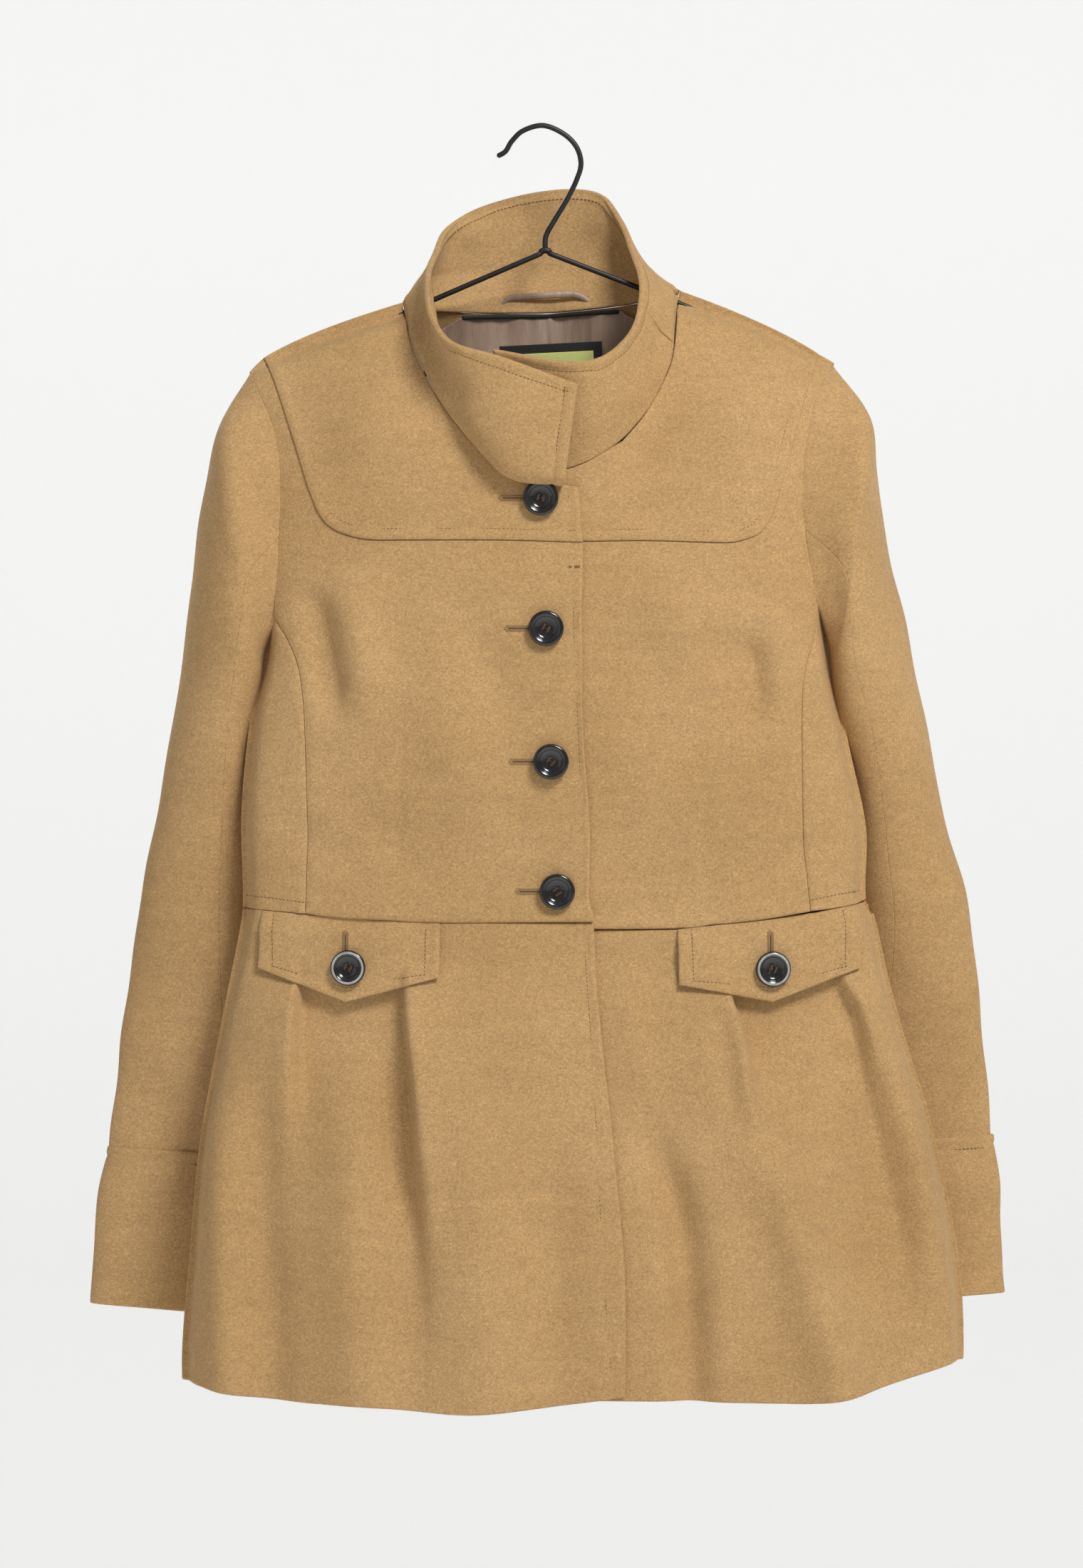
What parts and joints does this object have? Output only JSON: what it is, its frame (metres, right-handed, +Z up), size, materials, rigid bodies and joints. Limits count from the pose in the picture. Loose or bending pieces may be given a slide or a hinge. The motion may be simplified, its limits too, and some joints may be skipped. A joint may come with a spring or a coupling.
{
  "type": "coat",
  "caption": "Women's hip-length button-front coat with a funnel collar, pleated skirt and pocket flaps, on a wire hanger.",
  "frame": {"origin": "underside of the top of the hanger's hook, where a nail or rail holds it", "axes": "+Z up, -Y the coat's front, +X the wearer's left"},
  "size_m": [0.6082, 0.1339, 0.8428],
  "materials": {
    "shell_cloth": "brushed cotton with a short soft nap, camel",
    "collar_cloth": "the shell cloth, cut double and topstitched",
    "lining": "mauve-beige satin",
    "piping": "black covered cord",
    "label": "plain woven label, yellow-green with a black border",
    "button_horn": "polished black imitation horn",
    "thread": "twisted dark brown sewing thread",
    "wire": "black satin paint on steel wire"
  },
  "bodies": {
    "coat": {"right_yoke": "shell_cloth", "left_yoke": "shell_cloth", "right_bodice_front": "shell_cloth", "left_bodice_front": "shell_cloth", "right_side_front": "shell_cloth", "left_side_front": "shell_cloth", "right_back_bodice": "shell_cloth", "left_back_bodice": "shell_cloth", "left_skirt_front": "shell_cloth", "right_skirt_side": "shell_cloth", "left_skirt_side": "shell_cloth", "right_skirt_back": "shell_cloth", "left_skirt_back": "shell_cloth", "collar_back": "collar_cloth", "collar_left_end": "collar_cloth", "back_lining": "lining", "right_front_lining": "lining", "left_front_lining": "lining", "hang_loop": "lining", "neck_piping": "piping", "back_label": "label", "hanger_hook": "wire", "hanger_right_arm": "wire", "hanger_left_arm": "wire", "hanger_bar": "wire"},
    "right_sleeve": {"right_sleeve_upper": "shell_cloth", "right_sleeve_under": "shell_cloth", "right_cuff": "shell_cloth", "right_sleeve_lining": "lining"},
    "left_sleeve": {"left_sleeve_upper": "shell_cloth", "left_sleeve_under": "shell_cloth", "left_cuff": "shell_cloth", "left_sleeve_lining": "lining"},
    "right_flap": {"right_pocket_flap": "shell_cloth"},
    "left_flap": {"left_pocket_flap": "shell_cloth"},
    "collar_end": {"collar_right_end": "collar_cloth"},
    "skirt_front": {"right_skirt_front": "shell_cloth"},
    "front_button_1": {"front_button_1": "button_horn", "front_button_1_thread": "thread"},
    "front_button_2": {"front_button_2": "button_horn", "front_button_2_thread": "thread"},
    "front_button_3": {"front_button_3": "button_horn", "front_button_3_thread": "thread"},
    "front_button_4": {"front_button_4": "button_horn", "front_button_4_thread": "thread"},
    "right_flap_button": {"right_flap_button": "button_horn", "right_flap_button_thread": "thread"},
    "left_flap_button": {"left_flap_button": "button_horn", "left_flap_button_thread": "thread"}
  },
  "joints": [
    {"name": "right_sleeve_swing", "type": "hinge", "parent": "coat", "child": "right_sleeve", "pos_m": [-0.196, 0, -0.162], "axis": [0, 1, 0], "range_deg": [0, 45]},
    {"name": "left_sleeve_swing", "type": "hinge", "parent": "coat", "child": "left_sleeve", "pos_m": [0.196, 0, -0.156], "axis": [0, -1, 0], "range_deg": [0, 45]},
    {"name": "right_flap_lift", "type": "hinge", "parent": "coat", "child": "right_flap", "pos_m": [-0.126, -0.0538, -0.5185], "axis": [-0.9858, 0.1517, 0.0716], "range_deg": [0, 110]},
    {"name": "left_flap_lift", "type": "hinge", "parent": "coat", "child": "left_flap", "pos_m": [0.148, -0.0538, -0.519], "axis": [-0.98, -0.1508, -0.1298], "range_deg": [0, 110]},
    {"name": "collar_end_fold", "type": "hinge", "parent": "coat", "child": "collar_end", "pos_m": [-0.077, -0.041, -0.136], "axis": [0, 0, -1], "range_deg": [0, 60], "stiffness_Nm_per_rad": 0.01},
    {"name": "skirt_front_open", "type": "hinge", "parent": "coat", "child": "skirt_front", "pos_m": [-0.065, -0.058, -0.54], "axis": [0.0445, -0.0127, -0.9989], "range_deg": [0, 35], "stiffness_Nm_per_rad": 0.05},
    {"name": "front_button_1_turn", "type": "hinge", "parent": "coat", "child": "front_button_1", "pos_m": [-0.0015, -0.06, -0.2462], "axis": [0, -1, 0], "range_deg": [-40, 40], "stiffness_Nm_per_rad": 0.002},
    {"name": "front_button_2_turn", "type": "hinge", "parent": "coat", "child": "front_button_2", "pos_m": [0.0019, -0.06, -0.3311], "axis": [0, -1, 0], "range_deg": [-40, 40], "stiffness_Nm_per_rad": 0.002},
    {"name": "front_button_3_turn", "type": "hinge", "parent": "coat", "child": "front_button_3", "pos_m": [0.0051, -0.06, -0.4176], "axis": [0, -1, 0], "range_deg": [-40, 40], "stiffness_Nm_per_rad": 0.002},
    {"name": "front_button_4_turn", "type": "hinge", "parent": "coat", "child": "front_button_4", "pos_m": [0.0092, -0.06, -0.5019], "axis": [0, -1, 0], "range_deg": [-40, 40], "stiffness_Nm_per_rad": 0.002},
    {"name": "right_flap_button_turn", "type": "hinge", "parent": "right_flap", "child": "right_flap_button", "pos_m": [-0.1265, -0.05761, -0.5515], "axis": [-0.1242, -0.9923, 0], "range_deg": [-40, 40], "stiffness_Nm_per_rad": 0.002},
    {"name": "left_flap_button_turn", "type": "hinge", "parent": "left_flap", "child": "left_flap_button", "pos_m": [0.1493, -0.05745, -0.5523], "axis": [0.1268, -0.9919, 0], "range_deg": [-40, 40], "stiffness_Nm_per_rad": 0.002}
  ]
}
